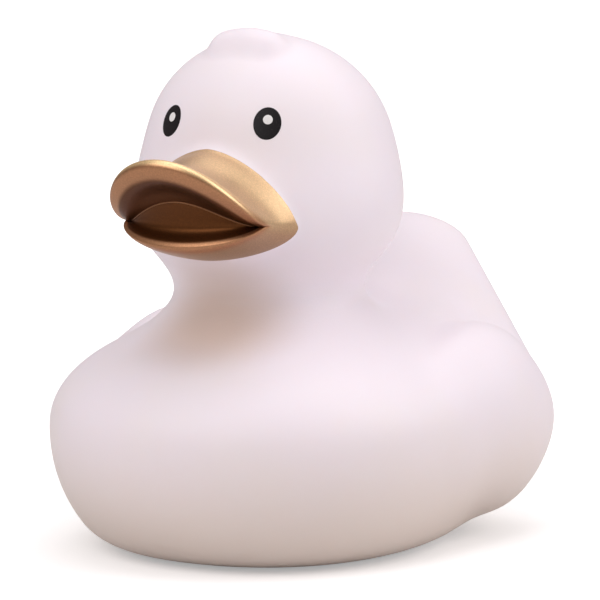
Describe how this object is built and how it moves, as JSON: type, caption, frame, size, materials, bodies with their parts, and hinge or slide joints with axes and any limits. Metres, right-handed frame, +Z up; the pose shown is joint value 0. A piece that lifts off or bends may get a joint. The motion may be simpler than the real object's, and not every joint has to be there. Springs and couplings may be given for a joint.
{
  "type": "rubber duck",
  "caption": "Squeaking bath duck with a round head, a flared beak, wing pads, an upswept tail and a flat base.",
  "frame": {"origin": "middle of the bounding box on the plane that the duck stands on", "axes": "+Z up, the duck looks along -Y, +X is the duck's left side"},
  "size_m": [0.0814, 0.0964, 0.0886],
  "materials": {
    "vinyl_white": "soft matte white vinyl",
    "gold_paint": "satin metallic paint, old gold",
    "eye_black": "black printed ink, slightly glossy",
    "eye_white": "white printed dot",
    "squeaker_plastic": "moulded off-white plastic",
    "reed_film": "thin clear-grey plastic strip"
  },
  "bodies": {
    "root": {"duck_body": "vinyl_white", "squeaker_housing": "squeaker_plastic", "squeaker_reed_block": "squeaker_plastic", "squeaker_reed": "reed_film"}
  },
  "joints": []
}
